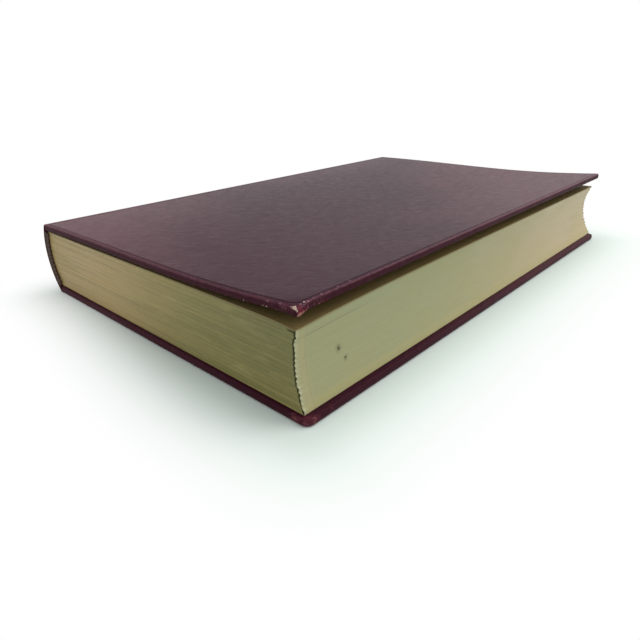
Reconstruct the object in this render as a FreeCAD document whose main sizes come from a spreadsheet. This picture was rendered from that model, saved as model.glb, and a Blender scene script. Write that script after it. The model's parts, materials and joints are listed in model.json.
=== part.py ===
import FreeCAD, Part
import os

import Sketcher

V = FreeCAD.Vector

# A leather-bound hardback book lying on its back cover, in millimetres and degrees.
# X runs from the spine to the fore-edge, Y from the tail to the head, and Z up.
# The origin is the middle of the back cover's outer face.

# Driving sizes
SIZES = {
    "cover_width": 135.0,            # joint to fore-edge
    "cover_height": 222.0,           # tail to head
    "board_thickness": 1.6,
    "leather_thickness": 0.45,       # on the covers
    "turn_in_width": 15.0,           # leather folded over onto the inner face
    "rim_radius": 0.9,               # rounded edges of a cover, seen in section
    "corner_radius": 2.5,            # rounded fore-edge corners, seen in plan
    "tooled_line_inset": 2.5,        # blind line round each cover
    "tooled_line_width": 0.6,
    "tooled_line_depth": 0.12,
    "joint_clearance": 0.3,          # between a cover and the spine's leather
    "front_lift_angle": 2.6,         # how far the front cover springs open
    "spine_height": 27.3,            # back cover's outer face to the front joint
    "spine_lean": 3.5,               # the front joint's set towards the spine
    "spine_bulge": 4.5,              # height of the rounded spine over its chord
    "spine_leather_thickness": 0.9,
    "lining_thickness": 0.4,
    "glue_line": 0.1,                # between the curved layers of the spine
    "endpaper_thickness": 0.2,
    "pastedown_margin": 3.0,         # leather left bare round a pastedown
    "gutter_gap": 0.3,               # front flyleaf to the closed front cover
    "end_square": 1.2,               # covers past the leaves at head and tail
    "fore_square": 2.2,              # covers past the leaves at the fore-edge
    "block_swell": 2.6,              # the fore-edge is thicker than the spine
    "fore_edge_hollow": 2.2,         # depth of the concave fore-edge
    "signature_edge_radius": 1.25,   # rounded fore-edge of each folded signature
    "band_diameter": 1.0,            # endbands at head and tail
}

SIGNATURES = 16

doc = FreeCAD.newDocument("hardback_book")
sheet = doc.addObject("Spreadsheet::Sheet", "Sizes")
for row, (alias, size) in enumerate(SIZES.items(), start=1):
    sheet.set(f"A{row}", alias.replace("_", " "))
    sheet.set(f"B{row}", str(size))
    sheet.setAlias(f"B{row}", alias)
doc.recompute()

# Sizes worked out from the sheet, written as expressions so that they follow it.
# Heights are above the table, and x is measured from the back joint.
COVER_THICKNESS = "(2 * Sizes.leather_thickness + Sizes.board_thickness)"
SPINE_CHORD = "sqrt(Sizes.spine_lean^2 + Sizes.spine_height^2)"
SPINE_RADIUS = f"(({SPINE_CHORD}^2 / 4 + Sizes.spine_bulge^2) / (2 * Sizes.spine_bulge))"
CHORD_TO_CENTRE = f"({SPINE_RADIUS} - Sizes.spine_bulge)"
SPINE_X = f"({CHORD_TO_CENTRE} * Sizes.spine_height / {SPINE_CHORD} - Sizes.spine_lean / 2)"
SPINE_Z = f"(Sizes.spine_height / 2 + {CHORD_TO_CENTRE} * Sizes.spine_lean / {SPINE_CHORD})"
LEATHER_INNER_RADIUS = f"({SPINE_RADIUS} - Sizes.spine_leather_thickness)"
LINING_RADIUS = f"({LEATHER_INNER_RADIUS} - Sizes.glue_line)"
LINING_INNER_RADIUS = f"({LINING_RADIUS} - Sizes.lining_thickness)"
BACK_RADIUS = f"({LINING_INNER_RADIUS} - Sizes.glue_line)"
ENDPAPERS = f"({COVER_THICKNESS} + 2 * Sizes.endpaper_thickness)"
BLOCK_BOTTOM = ENDPAPERS
BLOCK_TOP = f"(Sizes.spine_height - {ENDPAPERS} - Sizes.gutter_gap)"
BLOCK_HEIGHT = "(Sizes.cover_height - 2 * Sizes.end_square)"
BACK_BOTTOM_X = f"({SPINE_X} - sqrt({BACK_RADIUS}^2 - ({BLOCK_BOTTOM} - {SPINE_Z})^2))"
BACK_TOP_X = f"({SPINE_X} - sqrt({BACK_RADIUS}^2 - ({BLOCK_TOP} - {SPINE_Z})^2))"
FORE_BOTTOM_X = "(Sizes.cover_width - Sizes.fore_square)"
FORE_TOP_X = f"({FORE_BOTTOM_X} - Sizes.spine_lean)"
HALF_WIDTH = "(Sizes.cover_width / 2)"
LEAN_ANGLE = "(atan(Sizes.spine_lean / Sizes.spine_height))"
LINING_HEIGHT = f"({BLOCK_HEIGHT} + 2 * Sizes.band_diameter)"


def value(expression):
    """The present value of an expression, as a plain number."""
    return float(sheet.evalExpression(expression))


def bind(thing, **expressions):
    """Ties properties of an object to expressions of the sizes."""
    for name, expression in expressions.items():
        thing.setExpression(name, expression)


def stand_at(thing, x, y, z):
    """Places an object at a point measured from the back joint."""
    thing.setExpression("Placement.Base.x", f"{x} - {HALF_WIDTH}")
    thing.setExpression("Placement.Base.y", y)
    thing.setExpression("Placement.Base.z", z)


def part_object(kind, name, **expressions):
    thing = doc.addObject(f"Part::{kind}", name)
    bind(thing, **expressions)
    return thing


def boolean(kind, name, base, tool):
    thing = doc.addObject(f"Part::{kind}", name)
    thing.Base = base
    thing.Tool = tool
    return thing


def centred_box(name, x_from, x_to, width, z_from, z_to):
    """A box between two x and two z values, as wide as given across the middle of the book."""
    box = part_object("Box", name, Length=f"{x_to} - ({x_from})", Width=width,
                      Height=f"{z_to} - ({z_from})")
    stand_at(box, x_from, f"-({width}) / 2", z_from)
    return box


def origin_plane(body, role):
    return next(plane for plane in body.Origin.OriginFeatures if plane.Role == role)


def new_sketch(body, role, name):
    sketch = body.newObject("Sketcher::SketchObject", name)
    sketch.AttachmentSupport = [(origin_plane(body, role), "")]
    sketch.MapMode = "FlatFace"
    return sketch


def pin_point(sketch, edge, end, x, y):
    """Ties one end of an edge to a point given by two expressions."""
    for direction, expression in (("DistanceX", x), ("DistanceY", y)):
        number = sketch.addConstraint(
            Sketcher.Constraint(direction, -1, 1, edge, end, value(expression)))
        sketch.setExpression(f"Constraints[{number}]", expression)


def close_loop(sketch, edges):
    for first, second in zip(edges, edges[1:] + edges[:1]):
        sketch.addConstraint(Sketcher.Constraint("Coincident", first, 2, second, 1))


def add_polygon(sketch, corners):
    """Draws a closed outline through corners given as pairs of expressions."""
    points = [V(value(x), value(y), 0) for x, y in corners]
    edges = []
    for start, end in zip(points, points[1:] + points[:1]):
        edges.append(sketch.addGeometry(Part.LineSegment(start, end), False))
    close_loop(sketch, edges)
    for edge, (x, y) in zip(edges, corners):
        pin_point(sketch, edge, 1, x, y)


def add_rectangle(sketch, x_from, x_to, half_width):
    add_polygon(sketch, [(x_from, f"-{half_width}"), (x_to, f"-{half_width}"),
                         (x_to, half_width), (x_from, half_width)])


def bulged_arc(start, end, radius, side):
    """An arc of the given radius between two points, standing out towards the given side."""
    chord = end - start
    rise = radius - (radius ** 2 - chord.Length ** 2 / 4) ** 0.5
    middle = (start + end) / 2 + V(side) * rise
    return Part.Arc(start, middle, end)


def fillet(body, name, base, radius, chosen):
    """Rounds the edges of a feature that the given test picks."""
    doc.recompute()
    edges = [f"Edge{number}" for number, edge in enumerate(base.Shape.Edges, start=1)
             if chosen(edge)]
    feature = body.newObject("PartDesign::Fillet", name)
    feature.Base = (base, edges)
    bind(feature, Radius=radius)
    return feature


# The two covers. Each is drawn flat, with its outer face at the bottom and its joint at
# x = 0. The back cover lies as drawn, and the front one is turned over and set at its joint.
COVER_INNER_X = "(Sizes.joint_clearance / 2)"
BOARD_FORE_X = "(Sizes.cover_width - Sizes.leather_thickness)"
BOARD_HALF = "(Sizes.cover_height / 2 - Sizes.leather_thickness)"
INNER_FACE = f"({COVER_THICKNESS})"
BOARD_TOP = "(Sizes.leather_thickness + Sizes.board_thickness)"


def set_on_joint(thing, side, x="0", y="0", z="0"):
    """Places an object drawn in a cover's own frame on the back or the front joint."""
    if side == "back":
        stand_at(thing, x, y, z)
        return
    half_lift = "Sizes.front_lift_angle * 1deg / 2"
    turn = "(Sizes.front_lift_angle * 1deg)"
    thing.Placement = FreeCAD.Placement(V(), FreeCAD.Rotation(V(1, 0, 0), 180))
    bind(thing, **{"Placement.Rotation.Axis.x": f"cos({half_lift})",
                   "Placement.Rotation.Axis.y": "0",
                   "Placement.Rotation.Axis.z": f"sin({half_lift})",
                   "Placement.Rotation.Angle": "180deg"})
    stand_at(thing, f"({x}) * cos{turn} + ({z}) * sin{turn} - Sizes.spine_lean", f"-({y})",
             f"({x}) * sin{turn} - ({z}) * cos{turn} + Sizes.spine_height")


def cover_box(side, name, x_to, half_width, z_from, z_to):
    """A box in a cover's own frame, open towards the joint."""
    box = part_object("Box", f"{side}_{name}", Length=f"{x_to} - {COVER_INNER_X}",
                      Width=f"2 * {half_width}", Height=f"{z_to} - {z_from}")
    set_on_joint(box, side, COVER_INNER_X, f"-{half_width}", z_from)
    return box


def upright(edge):
    return abs(edge.tangentAt(edge.FirstParameter).z) > 0.99


def rounded_slab(side, name, fore_x, half_width, z_from, thickness, corner_radius):
    """A flat plate of a cover's outline, with rounded corners at the fore-edge."""
    body = doc.addObject("PartDesign::Body", f"{side}_{name}")
    sketch = new_sketch(body, "XY_Plane", f"{side}_{name}_outline")
    bind(sketch, **{"AttachmentOffset.Base.z": z_from})
    add_rectangle(sketch, COVER_INNER_X, fore_x, half_width)
    pad = body.newObject("PartDesign::Pad", f"{side}_{name}_plate")
    pad.Profile = sketch
    bind(pad, Length=thickness)
    doc.recompute()
    middle = value("Sizes.cover_width") / 2
    corners = fillet(body, f"{side}_{name}_corners", pad, corner_radius,
                     lambda edge: upright(edge) and edge.CenterOfMass.x > middle)
    doc.recompute()
    return body, corners


def make_board(side):
    body, corners = rounded_slab(side, "board", BOARD_FORE_X, BOARD_HALF,
                                 "Sizes.leather_thickness", "Sizes.board_thickness",
                                 "Sizes.corner_radius - Sizes.leather_thickness")
    set_on_joint(body, side)
    return body


def make_cover_leather(side, board):
    """Leather round the board: the outer face, the rounded rim and the turn-ins."""
    body, corners = rounded_slab(side, "wrap", "Sizes.cover_width", "(Sizes.cover_height / 2)",
                                 "0", COVER_THICKNESS, "Sizes.corner_radius")
    joint_x = value(COVER_INNER_X)
    rim = fillet(body, f"{side}_wrap_rim", corners, "Sizes.rim_radius",
                 lambda edge: not upright(edge) and edge.CenterOfMass.x > joint_x + 0.01)
    doc.recompute()
    plain_volume = rim.Shape.Volume
    sketch = new_sketch(body, "XY_Plane", f"{side}_tooled_line_outline")
    for inset in ("Sizes.tooled_line_inset",
                  "(Sizes.tooled_line_inset + Sizes.tooled_line_width)"):
        add_rectangle(sketch, f"({COVER_INNER_X} + {inset})", f"(Sizes.cover_width - {inset})",
                      f"(Sizes.cover_height / 2 - {inset})")
    line = body.newObject("PartDesign::Pocket", f"{side}_tooled_line")
    line.Profile = sketch
    line.Reversed = True
    bind(line, Length="Sizes.tooled_line_depth")
    doc.recompute()
    if line.Shape.Volume >= plain_volume:
        raise RuntimeError(f"the {side} cover's tooled line cuts nothing")
    set_on_joint(body, side)
    window = cover_box(side, "turn_in_window", "(Sizes.cover_width - Sizes.turn_in_width)",
                       "(Sizes.cover_height / 2 - Sizes.turn_in_width)",
                       "(Sizes.leather_thickness)", f"({COVER_THICKNESS} + 1)")
    hollowed = boolean("Cut", f"{side}_hollowed_wrap", body, board)
    return boolean("Cut", f"{side}_cover_leather", hollowed, window)


def make_pastedown(side):
    """Paper over the turn-ins, pressed down onto the board inside them."""
    margin = "Sizes.pastedown_margin"
    turn_in = "Sizes.turn_in_width"
    paper = "Sizes.endpaper_thickness"
    sheet_box = cover_box(side, "pastedown_sheet", f"(Sizes.cover_width - {margin})",
                          f"(Sizes.cover_height / 2 - {margin})",
                          INNER_FACE, f"({INNER_FACE} + {paper})")
    sunk_box = cover_box(side, "pastedown_sunk", f"(Sizes.cover_width - {turn_in})",
                         f"(Sizes.cover_height / 2 - {turn_in})",
                         BOARD_TOP, f"({INNER_FACE} + {paper})")
    pan_box = cover_box(side, "pastedown_pan", f"(Sizes.cover_width - {turn_in} - {paper})",
                        f"(Sizes.cover_height / 2 - {turn_in} - {paper})",
                        f"({BOARD_TOP} + {paper})", f"({INNER_FACE} + {paper} + 1)")
    stepped = boolean("Fuse", f"{side}_pastedown_steps", sheet_box, sunk_box)
    return boolean("Cut", f"{side}_pastedown", stepped, pan_box)


# The text block: folded signatures, rounded at the back and hollow at the fore-edge.
def fore_edge_point(share):
    """A point of the fore-edge, at a share of its height, leaning and hollow."""
    x = (f"({FORE_BOTTOM_X} - Sizes.spine_lean * {share}"
         f" - 4 * Sizes.fore_edge_hollow * {share} * (1 - {share}))")
    z = f"({BLOCK_BOTTOM} + ({BLOCK_TOP} + Sizes.block_swell - {BLOCK_BOTTOM}) * {share})"
    return x, z


def make_text_block():
    body = doc.addObject("PartDesign::Body", "text_block")
    sketch = new_sketch(body, "XZ_Plane", "text_block_section")
    steps = [fore_edge_point(step / SIGNATURES) for step in range(SIGNATURES + 1)]
    back_bottom = (BACK_BOTTOM_X, BLOCK_BOTTOM)
    back_top = (BACK_TOP_X, BLOCK_TOP)
    points = [V(value(x), value(z), 0) for x, z in [back_bottom] + steps + [back_top]]
    edges = [sketch.addGeometry(Part.LineSegment(points[0], points[1]), False)]
    edge_radius = value("Sizes.signature_edge_radius")
    for start, end in zip(points[1:-2], points[2:-1]):
        edges.append(sketch.addGeometry(bulged_arc(start, end, edge_radius, V(1, 0, 0)), False))
    edges.append(sketch.addGeometry(Part.LineSegment(points[-2], points[-1]), False))
    back = bulged_arc(points[-1], points[0], value(BACK_RADIUS), V(-1, 0, 0))
    edges.append(sketch.addGeometry(back, False))
    # An arc's ends are stored counter-clockwise, which is the way this outline runs.
    close_loop(sketch, edges)
    for edge, (x, z) in zip(edges, [back_bottom] + steps + [back_top]):
        pin_point(sketch, edge, 1, x, z)
    radii = ["Sizes.signature_edge_radius"] * SIGNATURES
    for edge, radius in zip(edges[1:-2] + edges[-1:], radii + [BACK_RADIUS]):
        number = sketch.addConstraint(Sketcher.Constraint("Radius", edge, value(radius)))
        sketch.setExpression(f"Constraints[{number}]", radius)
    pad = body.newObject("PartDesign::Pad", "text_block_leaves")
    pad.Profile = sketch
    pad.SideType = "Symmetric"
    bind(pad, Length=BLOCK_HEIGHT)
    stand_at(body, "0", "0", "0")
    return body


def make_flyleaf(side):
    """The free leaf of an endpaper, flat on the block."""
    if side == "back":
        leaf = part_object("Box", "back_flyleaf", Length=f"{FORE_BOTTOM_X} - {BACK_BOTTOM_X}",
                           Width=BLOCK_HEIGHT, Height="Sizes.endpaper_thickness")
        stand_at(leaf, BACK_BOTTOM_X, f"-{BLOCK_HEIGHT} / 2",
                 f"{BLOCK_BOTTOM} - Sizes.endpaper_thickness")
        return leaf
    run = f"({FORE_TOP_X} - {BACK_TOP_X})"
    leaf = part_object("Box", "front_flyleaf", Length=f"sqrt({run}^2 + Sizes.block_swell^2)",
                       Width=BLOCK_HEIGHT, Height="Sizes.endpaper_thickness")
    leaf.Placement = FreeCAD.Placement(V(), FreeCAD.Rotation(V(0, -1, 0), 1))
    bind(leaf, **{"Placement.Rotation.Angle": f"atan(Sizes.block_swell / {run})"})
    stand_at(leaf, BACK_TOP_X, f"-{BLOCK_HEIGHT} / 2", BLOCK_TOP)
    return leaf


# The spine: lining, leather and endbands, all round the same axis.
def spine_cylinder(name, radius, length):
    rod = part_object("Cylinder", name, Radius=radius, Height=length)
    rod.Placement = FreeCAD.Placement(V(), FreeCAD.Rotation(V(1, 0, 0), -90))
    stand_at(rod, SPINE_X, f"-({length}) / 2", SPINE_Z)
    return rod


def spine_shell(name, outer, inner, length):
    return boolean("Cut", name, spine_cylinder(f"{name}_outer", outer, length),
                   spine_cylinder(f"{name}_inner", inner, length))


def make_spine_leather():
    """Leather over the rounded back, pared off where it meets the two joints."""
    shell = spine_shell("spine_leather_shell", SPINE_RADIUS, LEATHER_INNER_RADIUS,
                        "Sizes.cover_height")
    zone = part_object("Box", "spine_leather_zone", Length=f"2 * {SPINE_RADIUS}",
                       Width="Sizes.cover_height", Height=SPINE_CHORD)
    zone.Placement = FreeCAD.Placement(V(), FreeCAD.Rotation(V(0, -1, 0), 1))
    bind(zone, **{"Placement.Rotation.Angle": LEAN_ANGLE})
    reach = f"(2 * {SPINE_RADIUS} + Sizes.joint_clearance / 2)"
    stand_at(zone, f"-{reach} * cos{LEAN_ANGLE}", "-Sizes.cover_height / 2",
             f"-{reach} * sin{LEAN_ANGLE}")
    return boolean("Common", "spine_leather", shell, zone)


def make_spine_lining():
    """Cloth and paper glued over the folds of the signatures."""
    shell = spine_shell("spine_lining_shell", LINING_RADIUS, LINING_INNER_RADIUS,
                        LINING_HEIGHT)
    zone = centred_box("spine_lining_zone", f"({SPINE_X} - 2 * {SPINE_RADIUS})", SPINE_X,
                       LINING_HEIGHT, BLOCK_BOTTOM, BLOCK_TOP)
    return boolean("Common", "spine_lining", shell, zone)


def make_endband(end):
    """A round band on one end of the block, following its back."""
    direction = {"head": "1", "tail": "-1"}[end]
    ring = part_object("Torus", f"{end}_band_ring",
                       Radius1=f"{BACK_RADIUS} - Sizes.band_diameter / 2",
                       Radius2="Sizes.band_diameter / 2")
    ring.Placement = FreeCAD.Placement(V(), FreeCAD.Rotation(V(1, 0, 0), -90))
    stand_at(ring, SPINE_X, f"{direction} * ({BLOCK_HEIGHT} + Sizes.band_diameter) / 2", SPINE_Z)
    zone = centred_box(f"{end}_band_zone", f"({SPINE_X} - 2 * {SPINE_RADIUS})", SPINE_X,
                       "Sizes.cover_height", f"({BLOCK_BOTTOM} + Sizes.band_diameter / 2)",
                       f"({BLOCK_TOP} - Sizes.band_diameter / 2)")
    return boolean("Common", f"{end}_band", ring, zone)


nodes = [make_text_block(), make_spine_lining(), make_spine_leather()]
for end in ("head", "tail"):
    nodes.append(make_endband(end))
for side in ("front", "back"):
    board = make_board(side)
    nodes += [board, make_cover_leather(side, board), make_pastedown(side), make_flyleaf(side)]
doc.recompute()

failed = [thing.Name for thing in doc.Objects
          if "Invalid" in thing.State or "Error" in thing.State]
if failed:
    raise RuntimeError(f"failed objects: {failed}")
for node in nodes:
    node.Label = node.Name
    if node.Shape.isNull() or not node.Shape.isValid() or len(node.Shape.Solids) != 1:
        raise RuntimeError(f"{node.Label} isn't one valid solid")

os.makedirs("parts", exist_ok=True)
for node in nodes:
    node.Shape.exportStep(f"parts/{node.Label}.step")
    print(f"{node.Label}: {node.Shape.Volume:.1f} mm3")
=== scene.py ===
import json
import math

import bmesh
import bpy
import numpy as np
from mathutils import Matrix, Vector


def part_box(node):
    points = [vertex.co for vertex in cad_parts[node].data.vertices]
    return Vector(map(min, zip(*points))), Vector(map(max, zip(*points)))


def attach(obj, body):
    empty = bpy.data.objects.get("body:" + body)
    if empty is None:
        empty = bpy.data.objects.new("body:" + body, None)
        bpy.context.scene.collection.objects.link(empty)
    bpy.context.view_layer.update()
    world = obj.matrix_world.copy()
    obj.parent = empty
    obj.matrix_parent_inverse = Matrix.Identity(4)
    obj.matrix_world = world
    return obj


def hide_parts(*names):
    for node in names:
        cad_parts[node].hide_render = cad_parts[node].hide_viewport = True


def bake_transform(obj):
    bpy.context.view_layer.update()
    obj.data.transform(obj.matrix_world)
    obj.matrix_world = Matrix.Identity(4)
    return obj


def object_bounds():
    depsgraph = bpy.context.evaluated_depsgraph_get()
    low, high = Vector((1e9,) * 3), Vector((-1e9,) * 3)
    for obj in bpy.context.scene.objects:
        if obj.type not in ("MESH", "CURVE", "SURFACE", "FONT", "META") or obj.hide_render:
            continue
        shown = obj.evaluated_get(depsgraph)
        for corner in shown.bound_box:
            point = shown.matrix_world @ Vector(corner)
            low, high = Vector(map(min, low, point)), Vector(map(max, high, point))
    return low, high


# A leather-bound hardback book with gilt edges, lying on its back cover.
# Shapes are worked out in millimetres in the row frame and turned into metres at the end.

MM = 0.001

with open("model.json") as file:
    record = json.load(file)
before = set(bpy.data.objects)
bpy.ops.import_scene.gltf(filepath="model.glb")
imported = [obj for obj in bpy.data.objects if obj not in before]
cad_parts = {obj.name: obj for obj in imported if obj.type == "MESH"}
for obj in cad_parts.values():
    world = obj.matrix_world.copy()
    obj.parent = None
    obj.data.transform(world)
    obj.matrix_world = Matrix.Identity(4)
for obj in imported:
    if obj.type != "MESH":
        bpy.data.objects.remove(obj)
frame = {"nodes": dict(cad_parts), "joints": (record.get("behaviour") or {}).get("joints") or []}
cad_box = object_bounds()


def node_box(node):
    """Lowest and highest corner of a node, in millimetres."""
    low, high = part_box(node)
    return np.array(low) / MM, np.array(high) / MM


joints = {joint["name"]: np.array(joint["pos_m"], float) / MM for joint in frame["joints"]}
cover_high = node_box("back_cover_leather")[1]
block_low, block_high = node_box("text_block")
BLOCK_BOTTOM = float(block_low[2])
BACK_HEIGHT = float(node_box("front_flyleaf")[0][2]) - BLOCK_BOTTOM
FORE_HEIGHT = float(block_high[2]) - BLOCK_BOTTOM
HALF_BLOCK = float(block_high[1])
WELD = 0.0005                   # points of a mesh that lie this near are one
ROUNDING = 1e-6                 # room for rounding where two places are compared

# Sizes of the covers
COVER_WIDTH = cover_high[0] - joints["back_joint"][0]
HALF_HEIGHT = cover_high[1]
COVER_THICKNESS = cover_high[2]
LEATHER = 0.45
FRONT_LIFT = math.radians(2.6)
FRONT_BOW = 1.6                 # the front cover's hollow between spine and fore-edge
BOW_SKEW = 1.8                  # which is deepest nearer to the fore-edge
CORNER_RADIUS = {"front": 1.2, "back": 2.5}
RIM_RADIUS = 0.8
RIM_CROWN = 0.06                # the edge band puffs up outside the blind line
LINE_INSET = 1.3                # middle of the blind line to the edge
LINE_JOINT = 2.3                # and to the joint
LINE_HALF_WIDTH = 0.32
LINE_DEPTH = 0.17
LINE_TURN = 3.0                 # radius of the line where it turns at a corner
TURN_IN = 15.0
FIELD_INSET = 4.0               # where the edge strip meets the plain field
FIELD_STEP = 2.2
CORNER_STATIONS = 9
RIM_HIGHLIGHT_OUT, RIM_HIGHLIGHT_WIDTH = 0.05, 0.42     # where a highlight is painted along the rim's roundover
RIM_HIGHLIGHT_LOW = -1.6

# Sizes of the spine
SPINE_BULGE = 4.5
SPINE_LEATHER = 0.9
SPINE_RIM_RADIUS = 0.45
JOINT_BEND_RADIUS = 1.17        # of the leather's outer face where it turns onto a cover
HINGE_START = 0.45              # the leather and paper bend between these two distances
HINGE_END = 0.95                # from the joint, measured along the cover
SECTION_START = 1.0             # the full thickness of a cover begins here
BOARD_START = 1.15

# Sizes of the text block
SIGNATURES = 16
HOLLOW_TAIL = 1.6
HOLLOW_HEAD = 3.6
SCALLOP = 0.33                  # how far a signature's edge stands out at the corners
SWAY = 0.3                      # and how far the corner at the tail wanders
LEAF_RIDGE = 0.05
PAPER = 0.16

front_back_chord = joints["front_joint"][[0, 2]] - joints["back_joint"][[0, 2]]
CHORD = float(np.hypot(*front_back_chord))
SPINE_RADIUS = (CHORD ** 2 / 4 + SPINE_BULGE ** 2) / (2 * SPINE_BULGE)
inward = np.array([front_back_chord[1], -front_back_chord[0]]) / CHORD
SPINE_CENTRE = (joints["back_joint"][[0, 2]] + front_back_chord / 2
                + inward * (SPINE_RADIUS - SPINE_BULGE))
SPINE_LEAN = -front_back_chord[0]


# Meshes are put together from grids of points that are joined where they meet.
class Patches:
    """The patches of one piece, with the marks that its material reads."""

    def __init__(self):
        self.points = []
        self.faces = []
        self.marks = {}
        self.count = 0

    def _keep(self, points, marks):
        first = self.count
        self.points.append(points)
        for name, values in marks.items():
            self.marks.setdefault(name, []).append(values)
        self.count += len(points)
        return first

    def grid(self, points, **marks):
        """Adds a grid of points, rows by columns, with marks given for each point."""
        rows, columns = points.shape[:2]
        flat_marks = {name: values.reshape(rows * columns, -1) for name, values in marks.items()}
        first = self._keep(points.reshape(-1, 3), flat_marks)
        corner = first + (np.arange(rows - 1)[:, None] * columns + np.arange(columns - 1)).ravel()
        quads = np.stack([corner, corner + 1, corner + columns + 1, corner + columns], axis=1)
        self.faces += quads.tolist()

    def polygon(self, points, **marks):
        """Adds one face with its own points."""
        first = self._keep(points, {name: values.reshape(len(points), -1)
                                    for name, values in marks.items()})
        self.faces.append(list(range(first, first + len(points))))

    def build(self, name, material, smooth_angle=35.0):
        """Joins the patches into one object, in metres, with its normals facing out."""
        points = np.concatenate(self.points)
        keys = np.round(points / WELD).astype(np.int64)
        _, first, inverse = np.unique(keys, axis=0, return_index=True, return_inverse=True)
        inverse = inverse.ravel()
        faces = []
        for face in self.faces:
            joined = []
            for number in inverse[face]:
                if number not in joined:
                    joined.append(int(number))
            if len(joined) > 2:
                faces.append(joined)
        mesh = bpy.data.meshes.new(name)
        mesh.from_pydata((points[first] * MM).tolist(), [], faces)
        for mark, pieces in self.marks.items():
            values = np.concatenate(pieces)[first].astype(np.float32)
            kind = "FLOAT_VECTOR" if values.shape[1] == 3 else "FLOAT"
            field = "vector" if values.shape[1] == 3 else "value"
            mesh.attributes.new(mark, kind, "POINT").data.foreach_set(field, values.ravel())
        tidy = bmesh.new()
        tidy.from_mesh(mesh)
        bmesh.ops.dissolve_degenerate(tidy, edges=tidy.edges, dist=1e-7)
        bmesh.ops.recalc_face_normals(tidy, faces=tidy.faces)
        tidy.to_mesh(mesh)
        tidy.free()
        mesh.shade_smooth()
        mesh.set_sharp_from_angle(angle=math.radians(smooth_angle))
        piece = bpy.data.objects.new(name, mesh)
        bpy.context.scene.collection.objects.link(piece)
        mesh.materials.append(material)
        return piece


# Materials
class Nodes:
    """Makes the nodes of one material or world and joins them."""

    def __init__(self, owner, shader="Principled BSDF"):
        owner.use_nodes = True
        self.owner = owner
        self.tree = owner.node_tree
        self.shader = self.tree.nodes[shader]
        self.base = None

    def node(self, kind, inputs=(), **settings):
        made = self.tree.nodes.new(kind)
        for name, setting in settings.items():
            setattr(made, name, setting)
        for name, source in dict(inputs).items():
            self.link(source, made.inputs[name])
        return made

    def link(self, source, socket):
        if isinstance(source, bpy.types.NodeSocket):
            self.tree.links.new(source, socket)
        else:
            socket.default_value = source

    def set(self, **inputs):
        for name, source in inputs.items():
            self.link(source, self.shader.inputs[name.replace("_", " ")])

    def finish(self, **inputs):
        """Gives the shader its base colour and its other inputs."""
        self.set(Base_Color=self.base, **inputs)
        return self.owner

    def mark(self, name, output="Fac"):
        return self.node("ShaderNodeAttribute", attribute_name=name).outputs[output]

    def place(self, coordinates, scale=(1, 1, 1), rotation=(0, 0, 0)):
        return self.node("ShaderNodeMapping", {"Vector": coordinates, "Scale": scale,
                                               "Rotation": rotation}).outputs[0]

    def object_place(self):
        """The place on the object, in millimetres."""
        coordinates = self.node("ShaderNodeTexCoord").outputs["Object"]
        return self.place(coordinates, (1 / MM, 1 / MM, 1 / MM))

    def split(self, vector):
        return self.node("ShaderNodeSeparateXYZ", {"Vector": vector}).outputs

    def noise(self, coordinates, scale, detail, roughness, distortion=0.0):
        """Noise at one scale, or at a scale for each axis."""
        if isinstance(scale, tuple):
            coordinates, scale = self.place(coordinates, scale), 1.0
        return self.node("ShaderNodeTexNoise",
                         {"Vector": coordinates, "Scale": scale, "Detail": detail,
                          "Roughness": roughness, "Distortion": distortion}).outputs[0]

    def cells(self, coordinates, scale, feature="F1"):
        return self.node("ShaderNodeTexVoronoi", {"Vector": coordinates, "Scale": scale},
                         feature=feature).outputs["Distance"]

    def math(self, operation, *terms, clamp=False):
        made = self.node("ShaderNodeMath", operation=operation, use_clamp=clamp)
        for socket, term in zip(made.inputs, terms):
            self.link(term, socket)
        return made.outputs[0]

    def times(self, first, *others):
        for other in others:
            first = self.math("MULTIPLY", first, other)
        return first

    def plus(self, first, *others):
        for other in others:
            first = self.math("ADD", first, other)
        return first

    def minus(self, first, second):
        return self.math("SUBTRACT", first, second)

    def most(self, first, *others):
        for other in others:
            first = self.math("MAXIMUM", first, other)
        return first

    def span(self, value, low, high, to_low=0.0, to_high=1.0):
        """Maps a value smoothly from one span to another."""
        return self.node("ShaderNodeMapRange",
                         {"Value": value, "From Min": low, "From Max": high, "To Min": to_low,
                          "To Max": to_high}, interpolation_type="SMOOTHSTEP").outputs[0]

    def wander(self, noise, reach):
        """A noise as a distance to either side."""
        return self.span(noise, 0.3, 0.7, -reach, reach)

    def mix(self, share, first, second):
        made = self.node("ShaderNodeMix", data_type="RGBA")
        for number, source in ((0, share), (6, first), (7, second)):
            self.link(source, made.inputs[number])
        return made.outputs[2]

    def paint(self, tint, *shares):
        """Lays a colour over the base colour, as strongly as the product of the shares."""
        self.base = self.mix(self.times(*shares), self.base, tint)

    def distance(self, first, second):
        made = self.node("ShaderNodeVectorMath", operation="DISTANCE")
        for socket, source in zip(made.inputs, (first, second)):
            self.link(source, socket)
        return made.outputs["Value"]

    def bump(self, height, distance, **inputs):
        return self.node("ShaderNodeBump", {"Height": height, "Distance": distance,
                                            "Strength": 1.0, **inputs}).outputs[0]

    def seen(self, ray):
        """Picks out what the camera sees, directly or by one other kind of ray."""
        outputs = self.node("ShaderNodeLightPath").outputs
        return self.most(outputs["Is Camera Ray"], outputs[ray])


def new_material(name):
    return Nodes(bpy.data.materials.new(name))


def colour(red, green, blue):
    return (red, green, blue, 1.0)


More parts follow.
